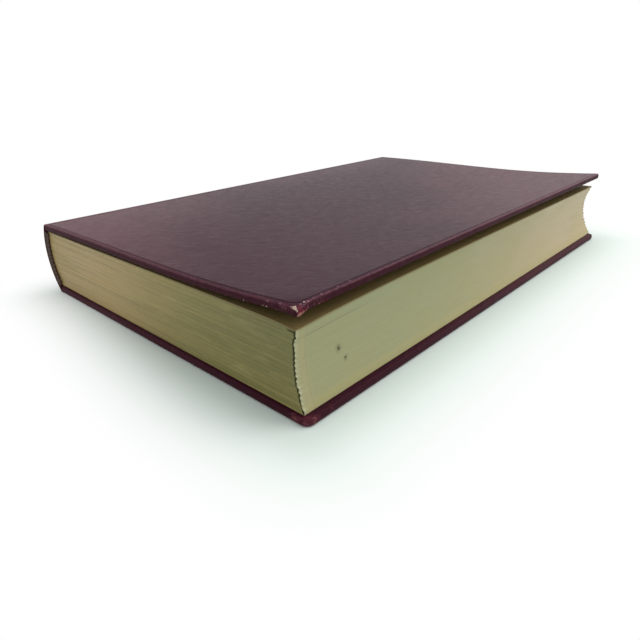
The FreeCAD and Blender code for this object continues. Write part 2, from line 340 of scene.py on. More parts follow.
LEATHER_DEEP = colour(0.024, 0.006, 0.012)
LEATHER_BODY = colour(0.034, 0.0070, 0.0185)
LEATHER_WARM = colour(0.046, 0.0095, 0.0195)
LEATHER_PAINTED_REFLECTION = colour(0.110, 0.040, 0.053)
LEATHER_SIDE = colour(0.034, 0.0038, 0.0095)
LEATHER_RIM_HIGHLIGHT_AND_SCUFF = colour(0.150, 0.058, 0.080)
LEATHER_BARE = colour(0.125, 0.010, 0.022)
LEATHER_WORN = colour(0.120, 0.026, 0.036)
LEATHER_TAN = colour(0.33, 0.15, 0.12)
LEATHER_PINK = colour(0.26, 0.125, 0.150)
LEATHER_CREAM = colour(0.57, 0.44, 0.34)
CREASE_SLANT = -0.63            # in radians, from the way of the spine
CREASE_RELIEF = 0.00013         # this and the other reliefs are in metres
GRAIN_RELIEF = 0.000035

# Worn spots in the leather's own flat frame: distance from the joint, then along the
# height, depth below the outer face, and size, all in millimetres.
CREAM_SPOTS = ((132.9, -110.7, -0.12, 0.26), (133.45, -110.6, -0.12, 0.42),
               (134.0, -110.6, -0.3, 0.46), (134.45, -110.65, -0.65, 0.34),
               (133.75, -110.2, 0.0, 0.26), (134.3, -107.45, -0.02, 0.3),
               (116.4, -110.8, -2.0, 0.28), (123.7, -110.8, -2.0, 0.25),
               (124.9, -110.8, -2.05, 0.25))
TAN_SPOTS = ((134.9, -110.2, -1.9, 0.75), (135.0, -109.7, -1.7, 0.55),
             (134.9, -108.6, -1.9, 0.4), (134.85, -107.4, -2.1, 0.36),
             (134.8, -102.6, -2.15, 0.25))
PINK_SPOTS = ((134.7, -106.4, -0.15, 0.4), (134.1, -108.7, 0.0, 0.4),
              (128.4, -110.9, -2.05, 0.25), (125.5, -110.9, -0.4, 0.36),
              (129.7, -110.8, -0.35, 0.3), (134.5, -101.3, -0.1, 0.38),
              (134.1, -89.8, 0.0, 0.42), (134.3, -94.9, 0.0, 0.25),
              (134.6, -104.2, -0.1, 0.25))
RED_SPOTS = ((134.9, -110.0, -0.9, 0.95), (134.9, -109.3, -1.3, 0.8),
             (134.3, -109.6, -0.1, 0.7), (134.8, -102.6, -2.2, 0.7),
             (134.8, -100.9, -2.2, 0.7), (134.8, -99.6, -2.2, 0.6),
             (134.9, -107.6, -1.6, 0.7))
SCUFF_CENTRE = (135.0, -111.0, -1.0)
# The back cover is only rubbed, at the corner below the front cover's worn one.
BACK_PINK_SPOTS = ((130.9, -110.9, -1.3, 0.7), (129.6, -110.9, -1.5, 0.4),
                   (134.95, -108.2, -1.5, 0.6), (133.3, -110.5, -1.1, 0.5))
BACK_RED_SPOTS = ((130.8, -111.0, -1.3, 2.2), (133.9, -109.9, -1.3, 2.6),
                  (134.9, -107.6, -1.4, 1.8), (134.9, -101.5, -1.6, 0.9))
# Each kind of wear: its spots, how strongly it shows, its colour, and if the skin is gone.
FRONT_WEAR = ((RED_SPOTS, 0.75, LEATHER_BARE, False), (PINK_SPOTS, 0.7, LEATHER_PINK, False),
              (TAN_SPOTS, 0.85, LEATHER_TAN, True), (CREAM_SPOTS, 1.0, LEATHER_CREAM, True))
BACK_WEAR = ((BACK_RED_SPOTS, 0.45, LEATHER_WORN, False),
             (BACK_PINK_SPOTS, 0.25, LEATHER_TAN, False))


def spots(nodes, flat, places, wander):
    """How strongly a point lies in any of the given worn spots, with ragged edges."""
    total = 0.0
    for *place, size in places:
        ragged = nodes.plus(nodes.distance(flat, place), wander)
        total = nodes.most(total, nodes.span(ragged, size, 0.55 * size))
    return total


def leather_material(name, front):
    """Dark burgundy calf: fine grain, soft mottling, a painted highlight along the rim, a paler
    painted reflection over parts of the covers, and small worn spots.
    """
    nodes = new_material(name)
    flat = nodes.mark("flat", "Vector")
    rim, groove, side = (nodes.mark(mark) for mark in ("rim", "groove", "side"))
    clouds = nodes.noise(flat, (0.03, 0.03, 0.03), 3.0, 0.55, 0.3)
    mottle = nodes.noise(flat, (0.30, 0.22, 0.35), 4.0, 0.6, 0.4)
    speckle = nodes.noise(flat, 2.2, 3.0, 0.6)
    slanted = nodes.place(flat, rotation=(0.0, 0.0, CREASE_SLANT))
    creases = nodes.noise(slanted, (0.18, 0.45, 0.5), 4.0, 0.6, 1.1)
    nodes.base = nodes.mix(nodes.span(clouds, 0.3, 0.7, 0.2, 0.7), LEATHER_BODY, LEATHER_WARM)
    nodes.paint(LEATHER_DEEP, nodes.span(mottle, 0.42, 0.7, 0.0, 0.2))
    nodes.paint(LEATHER_DEEP, nodes.span(creases, 0.48, 0.66, 0.0, 0.3))
    nodes.paint(LEATHER_WARM, nodes.span(speckle, 0.55, 0.75, 0.0, 0.3))
    # A paler colour is painted on the spine, at its tail end and at the other end of the
    # fore-edge, alike on both covers: a painted reflection of the bright room, where the leather
    # is seen at a grazing angle.
    place_x, place_y, _ = nodes.split(flat)
    from_spine = nodes.math("ABSOLUTE", nodes.plus(place_x, SPINE_MIDDLE))
    place_a = nodes.plus(nodes.minus(from_spine, SPINE_MIDDLE), nodes.wander(clouds, 9.0))
    at_tail = nodes.span(nodes.plus(place_a, place_y), 8.0, -90.0, 0.0, 0.88)
    at_fore = nodes.span(nodes.plus(place_a, nodes.times(place_y, 0.8)), 80.0, 170.0, 0.0, 0.75)
    at_spine = nodes.span(place_a, 30.0, -10.0, 0.0, 0.42)
    nodes.paint(LEATHER_PAINTED_REFLECTION, nodes.most(at_tail, at_fore, at_spine),
                nodes.span(mottle, 0.3, 0.65, 1.05, 0.9))
    patches = nodes.noise(flat, (0.55, 0.55, 0.9), 4.0, 0.65)
    side_red = nodes.mix(nodes.span(patches, 0.45, 0.68, 0.0, 0.7), LEATHER_SIDE, LEATHER_WARM)
    nodes.paint(side_red, side, 0.92 if front else 0.65)
    # A highlight is painted along the rounded rim of the covers.
    nodes.paint(LEATHER_RIM_HIGHLIGHT_AND_SCUFF, rim, nodes.span(patches, 0.3, 0.6, 0.35, 1.0), 0.7)
    nodes.paint(LEATHER_DEEP, groove, 0.8)
    if front:
        wander = nodes.wander(nodes.noise(flat, 2.6, 3.0, 0.7), 0.16)
        # The edge is scuffed pink and dark all round the knocked corner.
        scuffs = nodes.noise(flat, (1.3, 1.3, 0.8), 3.0, 0.7)
        near_corner = nodes.span(nodes.distance(flat, SCUFF_CENTRE), 14.0, 2.0)
        scuffed = nodes.times(near_corner, nodes.most(side, rim))
        nodes.paint(LEATHER_RIM_HIGHLIGHT_AND_SCUFF, nodes.span(scuffs, 0.52, 0.66, 0.0, 0.75), scuffed)
        nodes.paint(LEATHER_SIDE, nodes.span(scuffs, 0.48, 0.36, 0.0, 0.7), scuffed)
    else:
        wander = nodes.wander(nodes.noise(flat, 1.1, 4.0, 0.7), 0.8)
    bare = 0.0
    for places, strength, tint, skin_gone in FRONT_WEAR if front else BACK_WEAR:
        worn = spots(nodes, flat, places if front else on_back(places), wander)
        nodes.paint(tint, worn, strength)
        if skin_gone:
            bare = nodes.most(bare, worn)
    cells = nodes.cells(flat, 1.7, "SMOOTH_F1")
    pebble = nodes.plus(nodes.times(cells, 0.6), nodes.times(speckle, 0.5))
    normal = nodes.bump(pebble, GRAIN_RELIEF, Normal=nodes.bump(creases, CREASE_RELIEF))
    rough = nodes.plus(nodes.span(mottle, 0.3, 0.7, 0.27, 0.33), nodes.times(groove, 0.12),
                       nodes.times(bare, 0.3), nodes.times(side, 0.25))
    return nodes.finish(Roughness=rough, Normal=normal, Specular_IOR_Level=0.066)


TAIL_SHADED_NEAR = colour(0.205, 0.176, 0.050)
TAIL_BACKLIT_FAR = colour(0.43, 0.30, 0.120)
FORE_LIT_NEAR = colour(0.315, 0.315, 0.167)
FORE_BACKLIT_FAR = colour(0.46, 0.375, 0.222)
GILT_GREEN = colour(0.088, 0.105, 0.032)
GILT_YELLOW = colour(0.40, 0.345, 0.135)
GILT_SHADE = colour(0.045, 0.055, 0.018)
GILT_CORNER_HIGHLIGHT = colour(0.40, 0.40, 0.25)
GILT_SPECK = colour(0.034, 0.033, 0.008)
GILT_TOP_SHADE = colour(0.150, 0.112, 0.040)
GILT_WARM = colour(0.43, 0.355, 0.185)
GILT_RELIEF = 0.00004
INK = colour(0.027, 0.031, 0.003)
PRESSED_LINE = -105.6           # the place along the height of a line near the tail
SPECKS = ((-92.7, 14.35, 0.8), (-90.3, 10.7, 0.55))     # along the height, up, and size


def gilt_material():
    """Gilt leaf edges: thin streaks along the leaves, soft blotches and a few dark marks, with
    painted shade on the tail face and the top edge, and painted light towards the far ends, at the
    fore-edge's foot and at its corner.
    """
    nodes = new_material("gilt_edges")
    height, crack, end_face = (nodes.mark(mark) for mark in ("leaf_height", "crack", "end_face"))
    fore_only = nodes.math("SUBTRACT", 1.0, end_face, clamp=True)
    position = nodes.object_place()
    x, y, z = nodes.split(position)
    leafwise = nodes.node("ShaderNodeCombineXYZ", {"X": x, "Y": y, "Z": height}).outputs[0]
    fine = nodes.noise(leafwise, (0.03, 0.03, 5.0), 3.0, 0.6)
    crisp = nodes.noise(leafwise, (0.022, 0.022, 8.0), 2.0, 0.5)
    sections = nodes.noise(leafwise, (0.016, 0.016, 0.7), 3.0, 0.6, 0.2)
    scratches = nodes.noise(leafwise, (0.25, 0.25, 9.0), 2.0, 0.6)
    rubbed = nodes.noise(leafwise, (0.09, 0.09, 0.35), 4.0, 0.6, 0.3)
    blotches = nodes.noise(position, (0.03, 0.03, 0.06), 3.0, 0.5, 0.4)

    def paint_line(value, level, width, where, strength, tint):
        """A soft line along one level of a value."""
        off = nodes.math("ABSOLUTE", nodes.minus(value, level))
        nodes.paint(tint, nodes.span(off, width, 0.0), where, strength)

    # The tail face is painted darker than the fore-edge, as painted shade, and both faces are
    # painted lighter towards their far ends, as painted light from behind.
    tail = nodes.mix(nodes.span(x, 40.0, -40.0), TAIL_SHADED_NEAR, TAIL_BACKLIT_FAR)
    fore = nodes.mix(nodes.span(y, -70.0, 85.0), FORE_LIT_NEAR, FORE_BACKLIT_FAR)
    nodes.base = nodes.mix(end_face, fore, tail)
    nodes.paint(GILT_YELLOW, nodes.span(blotches, 0.3, 0.7, 0.0, 0.16))
    # Towards its upper corner at the fore-edge the tail is painted greener.
    up_and_fore = nodes.plus(nodes.times(height, 1.6), x)
    greener = nodes.times(nodes.span(up_and_fore, 55.0, 105.0, 0.0, 0.28), end_face)
    nodes.paint(GILT_GREEN, greener)
    streak_depth = nodes.span(end_face, 0.0, 1.0, 0.03, 0.26)
    nodes.paint(GILT_GREEN, nodes.span(sections, 0.42, 0.62), streak_depth)
    nodes.paint(GILT_YELLOW, nodes.span(rubbed, 0.5, 0.75), streak_depth)
    nodes.paint(GILT_SHADE, nodes.span(crisp, 0.57, 0.63), greener, 2.4)
    lines = nodes.plus(nodes.times(end_face, 0.2), nodes.times(greener, 1.2))
    nodes.paint(GILT_GREEN, nodes.span(fine, 0.5, 0.72), lines)
    nodes.paint(GILT_YELLOW, nodes.span(scratches, 0.6, 0.8), lines)
    # The fore-edge has two faint green lines under the first leaves, and above the last ones,
    # where it flares out and faces up, a lighter, yellower band of painted light.
    near_tail = nodes.times(nodes.span(y, -68.0, -92.0), fore_only)
    paint_line(height, 20.5, 0.22, near_tail, 0.6, GILT_GREEN)
    paint_line(height, 21.4, 0.14, near_tail, 0.3, GILT_GREEN)
    nodes.paint(GILT_YELLOW, nodes.span(height, 2.6, 1.9, 0.0, 0.4), fore_only)
    # On the tail the lowest leaves show a light line above and below.
    near_fore = nodes.times(nodes.span(x, 0.0, 45.0), end_face)
    paint_line(height, 2.5, 0.45, near_fore, 0.3, GILT_YELLOW)
    paint_line(height, 0.0, 0.7, near_fore, 0.4, GILT_YELLOW)
    # A faint pressed line runs down the fore-edge beside the corner.
    paint_line(y, PRESSED_LINE, 0.3, fore_only, 0.22, GILT_GREEN)
    # The top edge of the leaves is painted brown: the flyleaf's brown edge, and painted shade
    # under the front cover's overhang.
    nodes.paint(GILT_TOP_SHADE, nodes.span(height, FORE_HEIGHT - 0.7, FORE_HEIGHT - 0.1, 0.0, 0.7))
    wander = nodes.wander(nodes.noise(position, 1.6, 3.0, 0.7), 0.3)
    for along, up, size in SPECKS:
        across, above = nodes.minus(y, along), nodes.minus(z, up)
        square = nodes.plus(nodes.times(across, across), nodes.times(above, above))
        near = nodes.plus(nodes.math("SQRT", square), wander)
        nodes.paint(GILT_GREEN, nodes.span(near, 2.4 * size, 0.4 * size), fore_only, 0.4)
        nodes.paint(GILT_SPECK, nodes.span(near, 1.1 * size, 0.1 * size), fore_only, 0.95)
    # Beside the corner the gilt is warmer, and right at the corner a pale painted highlight stands
    # for light on the rounded corner.
    nodes.paint(GILT_WARM, nodes.span(y, -103.5, -107.0, 0.0, 0.3), fore_only)
    nodes.paint(GILT_CORNER_HIGHLIGHT, nodes.span(y, -108.0, -109.3, 0.0, 0.6), fore_only)
    # The dark crack at the corner, with the painted shadow stroke along the tail's top.
    nodes.paint(INK, crack)
    relief = nodes.plus(nodes.times(fine, 0.7), scratches)
    rough = nodes.plus(nodes.span(blotches, 0.3, 0.7, 0.40, 0.52), nodes.times(crack, 0.4))
    return nodes.finish(Roughness=rough, Metallic=0.1, Specular_IOR_Level=0.4,
                        Normal=nodes.bump(relief, GILT_RELIEF))


PAPER_DARK = colour(0.215, 0.158, 0.060)
PAPER_LIGHT = colour(0.248, 0.182, 0.073)
PAPER_RELIEF = 0.00004


def paper_material():
    """Dull paper with long fibres and faint clouding."""
    nodes = new_material("endpaper")
    position = nodes.object_place()
    clouds = nodes.noise(position, 0.03, 4.0, 0.6)
    fibres = nodes.noise(position, (0.5, 2.5, 1.0), 5.0, 0.7, 0.6)
    nodes.base = nodes.mix(nodes.span(clouds, 0.25, 0.75), PAPER_DARK, PAPER_LIGHT)
    nodes.paint(PAPER_DARK, nodes.span(fibres, 0.45, 0.75, 0.0, 0.3))
    nodes.paint(INK, nodes.span(nodes.cells(position, 0.9), 0.12, 0.04, 0.0, 0.4))
    return nodes.finish(Roughness=0.8, Specular_IOR_Level=0.25,
                        Normal=nodes.bump(fibres, PAPER_RELIEF))


BOARD_DARK = colour(0.30, 0.25, 0.18)
BOARD_LIGHT = colour(0.46, 0.41, 0.32)
BOARD_BITS = colour(0.12, 0.10, 0.07)
BOARD_RELIEF = 0.0001


def board_material():
    """Grey-brown board: matted fibres with darker and lighter bits."""
    nodes = new_material("binders_board")
    position = nodes.object_place()
    fibres = nodes.noise(position, (1.5, 1.5, 7.5), 5.0, 0.7)
    nodes.base = nodes.mix(nodes.span(fibres, 0.3, 0.7), BOARD_DARK, BOARD_LIGHT)
    nodes.paint(BOARD_BITS, nodes.span(nodes.cells(position, 1.4), 0.15, 0.05, 0.0, 0.5))
    return nodes.finish(Roughness=0.9, Specular_IOR_Level=0.2,
                        Normal=nodes.bump(fibres, BOARD_RELIEF))


CLOTH_DARK = colour(0.060, 0.042, 0.022)
CLOTH_LIGHT = colour(0.135, 0.100, 0.058)
CLOTH_GLUE = colour(0.075, 0.045, 0.020)
CLOTH_TURN = 9.0                # radians of the weave for each millimetre
CLOTH_RELIEF = 0.00015


def cloth_material():
    """Open unbleached cloth under glue, in a plain weave."""
    nodes = new_material("lining_cloth")
    position = nodes.object_place()
    _, y, z = nodes.split(position)
    weave = nodes.most(*(nodes.math("SINE", nodes.times(way, CLOTH_TURN)) for way in (y, z)))
    glue = nodes.noise(position, 0.3, 3.0, 0.6)
    nodes.base = nodes.mix(nodes.span(weave, -0.6, 0.6), CLOTH_DARK, CLOTH_LIGHT)
    nodes.paint(CLOTH_GLUE, nodes.span(glue, 0.4, 0.7, 0.0, 0.5))
    return nodes.finish(Roughness=0.85, Normal=nodes.bump(weave, CLOTH_RELIEF))


THREAD_RED = colour(0.055, 0.016, 0.018)
THREAD_GOLD = colour(0.12, 0.085, 0.035)
THREAD_DARK = colour(0.03, 0.01, 0.012)
THREAD_RELIEF = 0.00006


def thread_material():
    """Silk thread of the endbands, dark red crossed by a dull gold."""
    nodes = new_material("band_thread")
    gold = nodes.span(nodes.math("SINE", nodes.mark("turn")), 0.75, 0.95)
    strands = nodes.noise(nodes.object_place(), (6.0, 6.0, 6.0), 3.0, 0.6)
    nodes.base = nodes.mix(gold, THREAD_RED, THREAD_GOLD)
    nodes.paint(THREAD_DARK, nodes.span(strands, 0.45, 0.7, 0.0, 0.5))
    return nodes.finish(Roughness=0.5, Sheen_Weight=0.1,
                        Normal=nodes.bump(strands, THREAD_RELIEF))


# The leather's outer face seen from the end of the book: half the spine, the bend at the
# joint, and the flat cover. A point of a cover is given in a flat frame: its distance from
# the joint, its place along the book's height, and its height over the outer face, which
# is negative inside the cover.
TIP_REACH = 3.2                 # the knocked corner is drawn out and bent down
TIP_OUT = (0.45, 0.15)
TIP_DOWN = 0.7
SPINE_STATIONS = 22
BEND_STEPS = 10


class CoverSide:
    """One cover with its half of the spine."""

    def __init__(self, name):
        self.name = name
        front = name == "front"
        self.up = 1.0 if front else -1.0
        self.joint = joints[f"{name}_joint"][[0, 2]]
        self.lift = FRONT_LIFT if front else 0.0
        self.bow = FRONT_BOW if front else 0.0
        self.crown = RIM_CROWN if front else 0.0
        self.corner = CORNER_RADIUS[name]
        self.along = np.array([math.cos(self.lift), math.sin(self.lift)])
        self._trace()

    def _trace(self):
        """Works out the line of the outer face, station by station."""
        ends = [math.atan2(*(joints[f"{name}_joint"][[2, 0]] - SPINE_CENTRE[[1, 0]]))
                % (2 * math.pi) for name in ("front", "back")]
        middle = sum(ends) / 2
        at_joint = ends[0] if self.name == "front" else ends[1]
        turning = -self.up
        arrival = at_joint + turning * math.pi / 2
        bend = (self.lift - arrival + math.pi) % (2 * math.pi) - math.pi
        tangent = JOINT_BEND_RADIUS * math.tan(abs(bend) / 2)
        arc = np.linspace(middle, at_joint - turning * tangent / SPINE_RADIUS, SPINE_STATIONS)
        points = SPINE_CENTRE + SPINE_RADIUS * np.stack([np.cos(arc), np.sin(arc)], axis=1)
        normals = list(arc)
        numbers = np.arange(BEND_STEPS)
        headings = arrival + bend * (numbers + 0.5) / BEND_STEPS
        step = 2 * JOINT_BEND_RADIUS * math.sin(abs(bend) / BEND_STEPS / 2)
        entry = self.joint - tangent * np.array([math.cos(arrival), math.sin(arrival)])
        points[-1] = entry
        moves = step * np.stack([np.cos(headings), np.sin(headings)], axis=1)
        bent = entry + np.cumsum(moves, axis=0)
        normals += list(arrival + bend * (numbers + 1) / BEND_STEPS + self.up * math.pi / 2)
        far = self.joint + COVER_WIDTH * self.along
        points = np.concatenate([points, bent, [far]])
        normals.append(normals[-1])
        lengths = np.concatenate([[0], np.cumsum(np.hypot(*np.diff(points, axis=0).T))])
        start = COVER_WIDTH - lengths[-1]
        self.table_a = start + lengths
        self.table_x, self.table_z = points.T
        self.table_normal = np.unwrap(normals)
        self.spine_stations = self.table_a[:-1]

    def at(self, a, y, n):
        """The place of points given in the flat frame, in millimetres of the row frame."""
        a, y, n = np.broadcast_arrays(a, y, n)
        x = np.interp(a, self.table_a, self.table_x)
        z = np.interp(a, self.table_a, self.table_z)
        normal = np.interp(a, self.table_a, self.table_normal)
        share = np.clip(a / COVER_WIDTH, 0, 1)
        over = n - self.bow * np.sin(math.pi * share ** BOW_SKEW)
        if self.name == "front":
            away = (COVER_WIDTH - a) ** 2 + (HALF_HEIGHT + y) ** 2
            tip = np.exp(-away / TIP_REACH ** 2)
            x = x + TIP_OUT[0] * tip
            y = y + TIP_OUT[1] * tip
            over = over - TIP_DOWN * tip
        return np.stack([x + over * np.cos(normal), y + 0 * x, z + over * np.sin(normal)],
                        axis=-1)

    def spot(self, a):
        """One point of the cover's middle line, in metres."""
        return tuple(self.at(np.array(a), np.array(0.0), np.array(0.0)) * MM)


front_side = CoverSide("front")
back_side = CoverSide("back")

# The leather of both covers and the spine is one sheet: the back cover's flat frame goes on
# from the front cover's across the middle of the spine.
SPINE_MIDDLE = -front_side.table_a[0]


def sheet_place(side, a):
    """Distance from the front joint along the whole sheet of leather."""
    return a if side.name == "front" else back_side.table_a[0] - SPINE_MIDDLE - a


def on_back(places):
    """Worn spots of the back cover, placed on the whole sheet."""
    return [(sheet_place(back_side, a), *rest) for a, *rest in places]


leather_front = leather_material("leather_front", front=True)
leather_back = leather_material("leather_back", front=False)
gilt = gilt_material()
endpaper = paper_material()
board = board_material()
cloth = cloth_material()
thread = thread_material()


def smooth(share):
    """A soft step from 0 to 1."""
    share = np.clip(share, 0, 1)
    return share * share * (3 - 2 * share)


def edge_inset(a, y):
    """Distance to the nearest outer edge of a cover: tail, head or fore-edge."""
    return np.minimum(HALF_HEIGHT - np.abs(y), COVER_WIDTH - a)


def groove_share(a, y):
    """How far a point lies in the blind line, which turns a corner in an arc."""
    reach = LINE_INSET + LINE_TURN
    from_end = reach - (HALF_HEIGHT - np.abs(y))
    from_fore = reach - (COVER_WIDTH - a)
    rounded = reach - np.hypot(np.maximum(from_end, 0), np.maximum(from_fore, 0))
    both = (from_end > 0) & (from_fore > 0)
    inset = np.where(both, rounded, edge_inset(a, y))
    off = np.minimum(inset - LINE_INSET, a - LINE_JOINT)
    return smooth(1 - np.abs(off) / LINE_HALF_WIDTH)


def crown_share(a, y):
    """How far a point lies on the band that puffs up outside the blind line."""
    inset = edge_inset(a, y)
    bump = smooth((inset - 0.3) / 0.4) * smooth((LINE_INSET - inset) / 0.5)
    return bump * smooth((a - 0.5) / 2.5)


def outline(stations_a, stations_y):
    """The U-shaped way round a cover: along the tail, the fore-edge and the head."""
    angles = [math.radians(angle) for angle in np.linspace(0, 90, CORNER_STATIONS)[1:-1]]
    ways = [("tail", a) for a in stations_a]
    ways += [("tail_corner", -angle) for angle in reversed(angles)]
    ways += [("fore", y) for y in stations_y]
    ways += [("head_corner", angle) for angle in angles]
    ways += [("head", a) for a in reversed(stations_a)]
    return ways


def way_point(way, inset, radius):
    """Flat-frame place (a, y) at an inset from the outline, at one station of the way."""
    kind, value = way
    if kind in ("tail", "head"):
        a = min(value, COVER_WIDTH - inset)
        y = HALF_HEIGHT - inset
        return a, (-y if kind == "tail" else y)
    if kind == "fore":
        limit = HALF_HEIGHT - inset
        return COVER_WIDTH - inset, max(-limit, min(limit, value))
    sign = -1.0 if kind == "tail_corner" else 1.0
    left = max(radius - inset, 0.0)
    past = max(inset - radius, 0.0)
    a = COVER_WIDTH - radius - past + left * math.cos(value)
    y = sign * (HALF_HEIGHT - radius - past) + left * math.sin(value)
    return a, y


def quarter(radius, from_point, kind):
    """Six points round a rim: from the outer face to the side, or on to the inner face."""
    angles = np.radians(np.linspace(0, 90, 8)[1:-1])
    inset0, depth0 = from_point
    if kind == "outer":
        return [(inset0 - radius * math.sin(t), depth0 - radius * (1 - math.cos(t)))
                for t in angles]
    return [(inset0 + radius * (1 - math.cos(t)), depth0 - radius * math.sin(t))
            for t in angles]


OUTER_INSETS = (4.0, 3.2, 2.6, 2.35, 2.2, 2.05, 1.9, 1.75, 1.62, 1.5, 1.4, 1.3, 1.2, 1.1, 0.98)


def leather_sections():
    """Closed sections of the leather at an edge, as (inset, depth): cover, then spine."""
    full, thin, skin = COVER_THICKNESS, SPINE_LEATHER, LEATHER
    cover = [(inset, 0.0) for inset in OUTER_INSETS] + [(RIM_RADIUS, 0.0)]
    cover += quarter(RIM_RADIUS, (RIM_RADIUS, 0.0), "outer")
    cover += [(0.0, -RIM_RADIUS), (0.0, -full / 2), (0.0, RIM_RADIUS - full)]
    cover += quarter(RIM_RADIUS, (0.0, RIM_RADIUS - full), "inner")
    cover += [(RIM_RADIUS, -full), (3.0, -full), (8.0, -full), (TURN_IN - 0.3, -full),
              (TURN_IN, 0.15 - full), (TURN_IN, skin - full), (8.0, skin - full),
              (skin + 0.3, skin - full), (skin, skin + 0.3 - full), (skin, -skin - 0.3),
              (skin + 0.3, -skin), (FIELD_INSET, -skin)]
    spine = [(inset, 0.0) for inset in OUTER_INSETS] + [(SPINE_RIM_RADIUS, 0.0)]
    spine += quarter(SPINE_RIM_RADIUS, (SPINE_RIM_RADIUS, 0.0), "outer")
    spine += [(0.0, -SPINE_RIM_RADIUS), (0.0, -thin / 2), (0.0, SPINE_RIM_RADIUS - thin)]
    spine += quarter(SPINE_RIM_RADIUS, (0.0, SPINE_RIM_RADIUS - thin), "inner")
    spine += [(SPINE_RIM_RADIUS, -thin), (2.0, -thin), (3.0, -thin)]
    spine += [(3.5, -thin)] * (len(cover) - len(spine) - 1) + [(FIELD_INSET, -thin)]
    return np.array(cover), np.array(spine)


def board_sections():
    """The board's section, which lies just inside the leather."""
    near, far = LEATHER + 0.02, LEATHER + 0.25
    low = COVER_THICKNESS - LEATHER - 0.02
    section = [(FIELD_INSET, -near), (far, -near), (near, -far), (near, 0.23 - low),
               (far, -low), (FIELD_INSET, -low)]
    return np.array(section), np.array(section)


def field_stations(radius):
    """Distances from the joint at which the field of a cover has a row of points."""
    fine = [HINGE_START + (HINGE_END - HINGE_START) * step / 8 for step in range(9)]
    fine += [SECTION_START, BOARD_START]
    fine += [LINE_JOINT + LINE_HALF_WIDTH * share for share in (-1.3, -1, -0.6, 0, 0.6, 1, 1.3)]
    plain_from, plain_to = 3.6, COVER_WIDTH - FIELD_INSET
    count = round((plain_to - plain_from) / FIELD_STEP)
    fine += list(np.linspace(plain_from, plain_to, count + 1))
    fine += list(np.linspace(plain_to, COVER_WIDTH - radius, 10)[1:])
    return fine


def fore_stations(radius):
    """Places along the height at which the field of a cover has a row of points."""
    limit = HALF_HEIGHT - FIELD_INSET
    count = round(2 * limit / FIELD_STEP)
    ends = np.linspace(limit, HALF_HEIGHT - radius, 10)[1:]
    return list(-ends[::-1]) + list(np.linspace(-limit, limit, count + 1)) + list(ends)


def cover_piece(side, name, material, sections, on_spine):
    """A closed piece in the shape of a cover: an edge strip all round and two plain faces.
    Leather goes on round the spine. A board starts at its own edge, and has no blind line."""
    cover_section, spine_section = sections
    stations = field_stations(side.corner)
    if on_spine:
        stations = [a for a in side.spine_stations if a < min(stations)] + stations
    else:
        stations = [a for a in stations if a >= BOARD_START]
    fore = fore_stations(side.corner)
    ways = outline(stations, fore)

    def cover_share(a):
        """From 0 on the spine to 1 where a cover has its full thickness."""
        return smooth((a - SECTION_START) / (BOARD_START - SECTION_START))

    def inner_of(a):
        on_cover, at_spine = cover_section[-1][1], spine_section[-1][1]
        return at_spine + (on_cover - at_spine) * cover_share(a)

    strip_a = np.zeros((len(ways), len(cover_section)))
    strip_y = np.zeros_like(strip_a)
    strip_n = np.zeros_like(strip_a)
    for row, way in enumerate(ways):
        along = way[1] if way[0] in ("tail", "head") else COVER_WIDTH
        section = spine_section + (cover_section - spine_section) * float(cover_share(along))
        for column, (inset, depth) in enumerate(section):
            strip_a[row, column], strip_y[row, column] = way_point(way, inset, side.corner)
            strip_n[row, column] = depth
    rows = np.array([y for y in fore if abs(y) <= HALF_HEIGHT - FIELD_INSET + ROUNDING])
    columns = np.array([a for a in stations if a <= COVER_WIDTH - FIELD_INSET + ROUNDING])
    field_y, field_a = np.meshgrid(rows, columns, indexing="ij")
    outer_top = float(cover_section[0][1])

    def dressed(a, y, n, outer):
        """The height with the blind line and crown, then the line, the painted rim highlight and
        the side.
        """
        if not on_spine:
            return n, np.zeros_like(n), np.zeros_like(n), np.zeros_like(n)
        groove = groove_share(a, y) * outer
        on_cover = smooth((a - 0.5) / 2.0)
        round_rim = np.minimum(edge_inset(a, y), 3.0) + n
        # Where the painted highlight lies on the rim's roundover.
        rim = np.exp(-((round_rim + RIM_HIGHLIGHT_OUT) / RIM_HIGHLIGHT_WIDTH) ** 2) * on_cover * (n > RIM_HIGHLIGHT_LOW)
        edge = smooth((0.1 - round_rim) / 0.9)
        return n - groove * LINE_DEPTH + crown_share(a, y) * outer * side.crown, groove, rim, edge

    patches = Patches()

    def flat_place(a, y, n):
        return np.stack([sheet_place(side, a), y, n], axis=-1)

    def add(a, y, n, outer):
        n, groove, rim, edge = dressed(a, y, n, outer)
        patches.grid(side.at(a, y, n), flat=flat_place(a, y, n), groove=groove, rim=rim,
                     side=edge)

    outer = np.zeros_like(strip_n)
    outer[:, :len(OUTER_INSETS)] = float(on_spine)
    add(strip_a, strip_y, strip_n, outer)
    # The section closes on itself where the faces of the field begin.
    add(field_a, field_y, np.full_like(field_a, outer_top), np.ones_like(field_a))
    add(field_a, field_y, inner_of(field_a), np.zeros_like(field_a))
    # The end towards the spine is closed by a wall.
    end_a = np.full((len(rows), 2), columns[0])
    end_y = np.repeat(rows[:, None], 2, axis=1)
    end_n = np.repeat([[outer_top, float(inner_of(columns[0]))]], len(rows), axis=0)
    add(end_a, end_y, end_n, np.zeros_like(end_n))
    for row in (0, -1):
        place = strip_a[row], strip_y[row], strip_n[row]
        zero = np.zeros(len(strip_a[row]))
        patches.polygon(side.at(*place), flat=flat_place(*place), groove=zero, rim=zero,
                        side=zero)
    return patches.build(name, material)


front_leather = cover_piece(front_side, "front_leather", leather_front, leather_sections(),
                            on_spine=True)
back_leather = cover_piece(back_side, "back_leather", leather_back, leather_sections(),
                           on_spine=True)
front_board = cover_piece(front_side, "front_board_bowed", board, board_sections(),
                          on_spine=False)
back_board = cover_piece(back_side, "back_board_cut", board, board_sections(), on_spine=False)


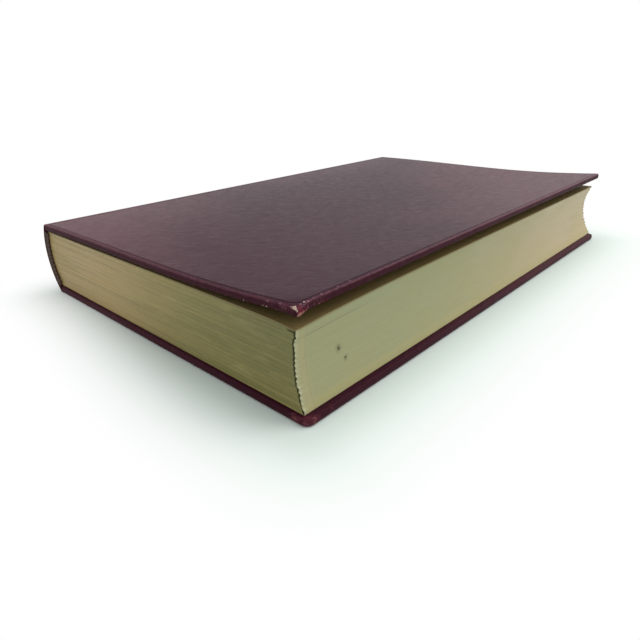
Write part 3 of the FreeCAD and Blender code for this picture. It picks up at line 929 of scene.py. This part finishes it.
# The endpapers: a pastedown on each board, and a flyleaf on the block.
def paper_strip(name, lines, rows):
    """A sheet with a thickness, swept along the height. Lines give, for each row, the middle
    of the sheet as points (x, z)."""
    patches = Patches()
    sheet = np.stack(lines)
    tangent = np.gradient(sheet, axis=1)
    tangent /= np.linalg.norm(tangent, axis=2, keepdims=True)
    across = np.stack([-tangent[..., 1], tangent[..., 0]], axis=-1) * PAPER / 2
    y = np.repeat(np.array(rows)[:, None], sheet.shape[1], axis=1)
    faces = [np.stack([side[..., 0], y, side[..., 1]], axis=-1)
             for side in (sheet + across, sheet - across)]
    for face in faces:
        patches.grid(face)
    for cut in (np.s_[0, :], np.s_[-1, :], np.s_[:, 0], np.s_[:, -1]):
        patches.grid(np.stack([faces[0][cut], faces[1][cut]]))
    return patches.build(name, endpaper, 50.0)


PASTEDOWN_MARGIN = 3.0
PASTE = 0.01                    # a sheet of paper lies this far from what carries it
BEND_DEPTH = -1.06              # of the paper under the leather at the joint


def make_pastedown(side):
    """Paper from the bend at the joint, over the board's edge and across the inner face."""
    under = COVER_THICKNESS + PAPER / 2 + PASTE
    bend = [(HINGE_START + (HINGE_END - HINGE_START) * step / 8, BEND_DEPTH)
            for step in range(8)]
    bend += [(0.97, -1.08), (1.03, -1.2), (1.04, -1.7), (1.04, 0.35 - under)]
    bend += [(1.07, 0.12 - under), (1.16, 0.03 - under), (1.3, -under)]
    flat = [(a, -under) for a in np.linspace(2.5, COVER_WIDTH - PASTEDOWN_MARGIN, 74)]
    profile = np.array(bend + flat)
    limit = HALF_HEIGHT - PASTEDOWN_MARGIN
    rows = np.linspace(-limit, limit, 110)
    lines = []
    for y in rows:
        sunk = smooth((edge_inset(profile[:, 0], y) - TURN_IN - 0.1) / 1.6)
        sunk = sunk * smooth((profile[:, 0] - 1.2) / 1.2)
        depth = profile[:, 1] + sunk * (LEATHER - 0.02)
        lines.append(side.at(profile[:, 0], np.full(len(profile), y), depth)[:, [0, 2]])
    piece = paper_strip(f"{side.name}_pastedown_paper", lines, rows)
    side.spot(HINGE_START)
    side.spot(HINGE_END)
    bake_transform(piece)
    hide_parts(f"{side.name}_pastedown")


make_pastedown(front_side)
make_pastedown(back_side)


# The text block: signatures of folded leaves, rounded at the back, hollow and gilt at the
# fore-edge.
BACK_X = float(node_box("spine_lining")[0][0])
FORE_BOTTOM_X = joints["back_joint"][0] + COVER_WIDTH - 2.2
BLOCK_BACK_RADIUS = SPINE_RADIUS - SPINE_LEATHER - 0.6
SIGNATURE_STEPS = (0.0, 0.08, 0.2, 0.32, 0.44, 0.56, 0.68, 0.78, 0.87, 0.95)
DROOP_WIDE, DROOP_TIP = 0.25, 0.45
FORE_SHIFT = 0.75               # the top of the fore-edge leans out a little at the tail

random_ridges = np.random.default_rng(7)
leaf_shares = np.array([(number + step) / SIGNATURES for number in range(SIGNATURES)
                        for step in SIGNATURE_STEPS] + [1.0])
RIDGE_KNOTS = 14
ridge_table = random_ridges.uniform(-1, 1, (len(leaf_shares), RIDGE_KNOTS))
ridge_table = 0.55 * ridge_table + 0.45 * random_ridges.uniform(-1, 1, (len(leaf_shares), 1))
wave_table = random_ridges.uniform(0.35, 1.6, SIGNATURES)
sway_table = random_ridges.uniform(-1, 1, 13)


def scallop(share):
    """A signature's rounded edge: it stands out most near its top, then drops back."""
    number = np.clip((share * SIGNATURES).astype(int), 0, SIGNATURES - 1)
    within = share * SIGNATURES - number
    rise = smooth(within / 0.8) * smooth((1 - within) / 0.22)
    return SCALLOP * wave_table[number] * rise


def sway(share):
    """A slow side to side wander of the corner at the tail."""
    place = share * (len(sway_table) - 1)
    low = np.clip(np.floor(place).astype(int), 0, len(sway_table) - 2)
    part = smooth(place - low)
    calm = smooth(share / 0.05) * smooth((1 - share) / 0.05)
    return SWAY * calm * (sway_table[low] * (1 - part) + sway_table[low + 1] * part)


def signature_groove(share):
    """Shallow grooves where two signatures meet."""
    within = (share * SIGNATURES) % 1.0
    near = np.minimum(within, 1 - within)
    return np.exp(-(near / 0.09) ** 2)


def ridges(share, along):
    """Unevenness of the leaves' edges, for a place along them from 0 to 1."""
    rows = np.interp(share, leaf_shares, np.arange(len(leaf_shares)))
    row = np.clip(np.round(rows).astype(int), 0, len(leaf_shares) - 1)
    knot = np.clip(along, 0, 1) * (RIDGE_KNOTS - 1)
    low = np.clip(np.floor(knot).astype(int), 0, RIDGE_KNOTS - 2)
    part = smooth(knot - low)
    return ridge_table[row, low] * (1 - part) + ridge_table[row, low + 1] * part


def block_point(share, across, y):
    """A point of a leaf: share of the block's height, place from back to fore-edge, and y."""
    z_back = BLOCK_BOTTOM + BACK_HEIGHT * share
    x_back = SPINE_CENTRE[0] - np.sqrt(BLOCK_BACK_RADIUS ** 2 - (z_back - SPINE_CENTRE[1]) ** 2)
    z_fore = BLOCK_BOTTOM + FORE_HEIGHT * share
    from_tail = y + HALF_BLOCK
    hollow = HOLLOW_TAIL + (HOLLOW_HEAD - HOLLOW_TAIL) * from_tail / (2 * HALF_BLOCK)
    near_tail = np.exp(-(from_tail / 25) ** 2)
    x_fore = (FORE_BOTTOM_X - SPINE_LEAN * share - 4 * hollow * share * (1 - share)
              + FORE_SHIFT * near_tail * share ** 2)
    from_end = HALF_BLOCK - np.abs(y)
    strength = 0.03 + 0.97 * np.exp(-(from_end / 0.8) ** 2)
    x = x_back + (x_fore - x_back) * across
    from_fore = (x_fore - x_back) * (1 - across)
    at_tail = np.exp(-(from_tail / 1.2) ** 2)
    x = x + (scallop(share) * strength + sway(share) * at_tail) * np.exp(-from_fore / 1.5)
    z = z_back + (z_fore - z_back) * across
    wide = np.exp(-(from_fore / 12) ** 2) * np.exp(-(from_tail / 45) ** 2)
    tip = np.exp(-(from_fore / 3.5) ** 2) * np.exp(-(from_tail / 7) ** 2)
    z = z - (DROOP_WIDE * wide + DROOP_TIP * tip) * share ** 3
    return x, z


def make_text_block():
    """All the leaves as one closed piece: two end faces, fore-edge, back, top and bottom."""
    patches = Patches()
    near_fore = np.array([26, 20, 15, 11, 8, 5.5, 3.6, 2.2, 1.3, 0.8, 0.6, 0.45, 0.3, 0.14, 0.0])
    width = FORE_BOTTOM_X - BACK_X
    across = np.concatenate([np.linspace(0, 1 - 32 / width, 26), 1 - near_fore / width])
    from_end = np.array([0, 0.12, 0.3, 0.55, 0.9, 1.4, 2.1, 3.0, 4.2, 6.0, 8.5, 12.0])
    middle = np.linspace(-HALF_BLOCK + 16, HALF_BLOCK - 16, 46)
    along = np.concatenate([from_end - HALF_BLOCK, middle, (HALF_BLOCK - from_end)[::-1]])

    def add(share, place, y, end_face, crack, push_x=0.0, push_y=0.0):
        x, z = block_point(share, place, y)
        patches.grid(np.stack([x + push_x, y + push_y, z], axis=-1),
                     leaf_height=share * FORE_HEIGHT,
                     end_face=end_face, crack=crack)

    share, place = np.meshgrid(leaf_shares, across, indexing="ij")
    zero = np.zeros_like(share)
    for direction in (-1.0, 1.0):
        inside = smooth((1 - place) * width / 1.2) * smooth(place * width / 1.2)
        inside = inside * smooth(share * 60) * smooth((1 - share) * 60)
        rough = LEAF_RIDGE * (0.6 + ridges(share, place)) + 0.07 * signature_groove(share)
        from_fore = (1 - place) * width
        crack = smooth((0.74 - from_fore) / 0.3)
        # Along the top of the tail, near the fore-edge, a short dark stroke of painted shadow
        # under the flyleaf's edge.
        shadow_stroke = smooth((3.6 - from_fore) / 1.2) * smooth((share - 0.955) / 0.01)
        shadow_stroke = shadow_stroke * smooth((0.99 - share) / 0.01)
        crack = np.maximum(crack, 0.9 * shadow_stroke) * (direction < 0)
        # It thins out where the lowest leaves have parted from the rest.
        crack = crack * (1 - 0.7 * np.exp(-((share - 0.085) / 0.018) ** 2))
        add(share, place, zero + direction * HALF_BLOCK, zero + 1.0, crack + zero,
            push_y=-direction * rough * inside)
    share, y = np.meshgrid(leaf_shares, along, indexing="ij")
    zero = np.zeros_like(share)
    inside = smooth((HALF_BLOCK - np.abs(y)) / 0.8) * smooth(share * 60) * smooth((1 - share) * 60)
    rough = 0.010 * ridges(share, (y + HALF_BLOCK) / (2 * HALF_BLOCK) * 0.98)
    rough = rough + 0.010 * signature_groove(share)
    add(share, zero + 1.0, y, zero, zero, push_x=-rough * inside)
    add(share, zero, y, zero, zero)
    for level in (0.0, 1.0):
        place, y = np.meshgrid(across, along, indexing="ij")
        zero = np.zeros_like(place)
        add(zero + level, place, y, zero, zero)
    return patches.build("text_block_leaves", gilt, 55.0)


text_block = make_text_block()


def make_flyleaf(side):
    """Paper from the joint down the shoulder of the block and out to its fore-edge."""
    level = 1.0 if side.name == "front" else 0.0
    start = side.at(np.array(HINGE_START), np.array(0.0), np.array(BEND_DEPTH))[[0, 2]]
    rows = np.linspace(-HALF_BLOCK, HALF_BLOCK, 90)
    places = np.concatenate([[0.006, 0.012, 0.02], np.linspace(0.04, 1.0, 70)])
    lift = side.up * (PAPER / 2 + PASTE)
    lines = []
    for y in rows:
        x, z = block_point(np.full(len(places), level), places, np.full(len(places), y))
        leaf = np.stack([x, z + lift], axis=1)
        shoulder = leaf[0] + np.array([-0.35, side.up * 0.28])
        bend = [start + (shoulder - start) * share for share in (0, 0.25, 0.5, 0.75, 1.0)]
        turn = shoulder + np.array([0.08, -side.up * 0.2])
        lines.append(np.concatenate([bend, [turn], leaf]))
    piece = paper_strip(f"{side.name}_flyleaf_paper", lines, rows)
    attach(piece, "text_block")
    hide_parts(f"{side.name}_flyleaf")


make_flyleaf(front_side)
make_flyleaf(back_side)


def make_band(end):
    """A sewn endband along the back of the block: thread wound over a core."""
    low, high = node_box(f"{end}_band")
    direction = 1.0 if end == "head" else -1.0
    radius = (high[1] - low[1]) / 2
    middle_y = (high[1] + low[1]) / 2
    ring = BLOCK_BACK_RADIUS - radius
    heights = np.array([low[2], high[2]])
    angles = math.pi - np.arcsin((heights - SPINE_CENTRE[1]) / ring)
    pitch = 0.55
    turns = abs(angles[1] - angles[0]) * ring / pitch
    arc = np.linspace(angles[0], angles[1], int(turns * 7))
    around = np.linspace(0, 2 * math.pi, 15)
    arc_grid, around_grid = np.meshgrid(arc, around, indexing="ij")
    phase = (arc_grid - angles[0]) * ring / pitch * 2 * math.pi + around_grid
    wound = radius * (0.93 + 0.07 * np.cos(phase))
    out = ring + wound * np.cos(around_grid)
    x = SPINE_CENTRE[0] + out * np.cos(arc_grid)
    z = SPINE_CENTRE[1] + out * np.sin(arc_grid)
    y = middle_y + wound * np.sin(around_grid) * direction
    patches = Patches()
    points = np.stack([x, y, z], axis=-1)
    points[:, -1] = points[:, 0]
    patches.grid(points, turn=phase / 3)
    for row in (0, -1):
        patches.polygon(points[row, :-1], turn=phase[row, :-1] / 3)
    piece = patches.build(f"{end}_band_thread", thread, 60.0)
    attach(piece, "text_block")
    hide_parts(f"{end}_band")


make_band("head")
make_band("tail")

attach(text_block, "text_block")
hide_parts("text_block")

for piece, side in ((front_board, front_side), (back_board, back_side)):
    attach(piece, f"{side.name}_cover")
    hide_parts(f"{side.name}_board")

for leather, side in ((front_leather, front_side), (back_leather, back_side)):
    side.spot(HINGE_START)
    side.spot(HINGE_END)
    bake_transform(leather)
    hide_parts(f"{side.name}_cover_leather", "spine_leather")


lining_slots = frame["nodes"]["spine_lining"].data.materials
lining_slots.clear()
lining_slots.append(cloth)


# Floor, light and camera
FLOOR_COLOUR = colour(0.76, 0.85, 0.805)
FLOOR_PAINTED_SHADE = colour(0.655, 0.745, 0.700)
PAINTED_SHADE_END = 22.0                 # the painted shade on the floor right at the book ends this far from it
FADE_START, FADE_END = 2.0, 40.0
FADE_LEAN = 12.0                # and the fading begins earlier on the side of the spine, which paints that side lighter
FLOOR_REACH, FLOOR_LEVEL = 3.0, -0.00003        # in metres
WORLD_LIGHT = 0.72


def make_floor():
    """A pale floor with a shade painted right round the book, lighter on the side of the spine,
    that fades to white in the distance.
    """
    nodes = new_material("floor")
    x, y, _ = nodes.split(nodes.object_place())
    away = 0.0
    for place, half in ((x, cad_box[1][0]), (y, cad_box[1][1])):
        past = nodes.most(nodes.minus(nodes.math("ABSOLUTE", place), half / MM), 0.0)
        away = nodes.plus(away, nodes.times(past, past))
    away = nodes.plus(nodes.math("SQRT", away), nodes.span(x, 40.0, -70.0, 0.0, FADE_LEAN))
    seen = nodes.seen("Is Glossy Ray")
    far = nodes.times(nodes.span(away, FADE_START, FADE_END), seen)
    # Painted shade on the floor close round the book.
    near = nodes.times(nodes.span(away, PAINTED_SHADE_END, 0.0), seen)
    nodes.base = nodes.mix(near, FLOOR_COLOUR, FLOOR_PAINTED_SHADE)
    material = nodes.finish(Roughness=0.8, Specular_IOR_Level=0.2)
    glow = nodes.node("ShaderNodeEmission", {"Color": colour(1, 1, 1), "Strength": 1.0})
    mixed = nodes.node("ShaderNodeMixShader", {"Fac": far})
    nodes.link(nodes.shader.outputs[0], mixed.inputs[1])
    nodes.link(glow.outputs[0], mixed.inputs[2])
    nodes.link(mixed.outputs[0], nodes.tree.nodes["Material Output"].inputs["Surface"])
    mesh = bpy.data.meshes.new("floor")
    corners = [(-FLOOR_REACH, -FLOOR_REACH), (FLOOR_REACH, -FLOOR_REACH),
               (FLOOR_REACH, FLOOR_REACH), (-FLOOR_REACH, FLOOR_REACH)]
    mesh.from_pydata([(*corner, FLOOR_LEVEL) for corner in corners], [], [(0, 1, 2, 3)])
    mesh.materials.append(material)
    floor = bpy.data.objects.new("floor", mesh)
    bpy.context.scene.collection.objects.link(floor)


def make_world():
    """A white room: seen directly it is white, and its light is softer."""
    world = bpy.data.worlds.new("studio")
    bpy.context.scene.world = world
    nodes = Nodes(world, "Background")
    seen = nodes.seen("Is Transmission Ray")
    nodes.set(Color=colour(1, 1, 1), Strength=nodes.span(seen, 0.0, 1.0, WORLD_LIGHT, 1.0))


def area_light(name, power, size, place, tint):
    """A soft rectangular lamp that points at the book."""
    lamp = bpy.data.lights.new(name, "AREA")
    lamp.energy = power
    lamp.shape = "RECTANGLE"
    lamp.size, lamp.size_y = size
    lamp.color = tint
    holder = bpy.data.objects.new(name, lamp)
    bpy.context.scene.collection.objects.link(holder)
    holder.location = place
    holder.rotation_euler = (-Vector(place)).to_track_quat("-Z", "Y").to_euler()


WINDOW_POWER = 10.0
CEILING_POWER = 8.0

make_floor()
make_world()
area_light("window", WINDOW_POWER, (1.4, 1.2), (0.55, 1.0, 1.05), (1.0, 0.97, 0.93))
area_light("ceiling", CEILING_POWER, (1.6, 1.6), (0.1, 0.4, 1.5), (0.96, 0.98, 1.0))

CAMERA_PLACE = (0.14378, -0.19251, 0.08453)     # in metres
CAMERA_YAW, CAMERA_PITCH, CAMERA_ROLL = 41.56, 25.61, -0.24     # in degrees
CAMERA_LENS = 30.45


def make_camera():
    """The photograph's own view of the book."""
    yaw, pitch, roll = (math.radians(angle) for angle in
                        (CAMERA_YAW, CAMERA_PITCH, CAMERA_ROLL))
    forward = np.array([-math.sin(yaw) * math.cos(pitch), math.cos(yaw) * math.cos(pitch),
                        -math.sin(pitch)])
    right = np.array([math.cos(yaw), math.sin(yaw), 0.0])
    down = -np.cross(right, forward)
    across = math.cos(roll) * right + math.sin(roll) * down
    below = -math.sin(roll) * right + math.cos(roll) * down
    lens = bpy.data.cameras.new("camera")
    lens.sensor_width = 36.0
    lens.lens = CAMERA_LENS
    lens.clip_start = 0.005
    camera = bpy.data.objects.new("camera", lens)
    turned = Matrix(np.stack([across, -below, -forward], axis=1).tolist()).to_4x4()
    turned.translation = CAMERA_PLACE
    camera.matrix_world = turned
    bpy.context.scene.collection.objects.link(camera)
    bpy.context.scene.camera = camera


make_camera()
bpy.context.scene.view_settings.view_transform = "Standard"
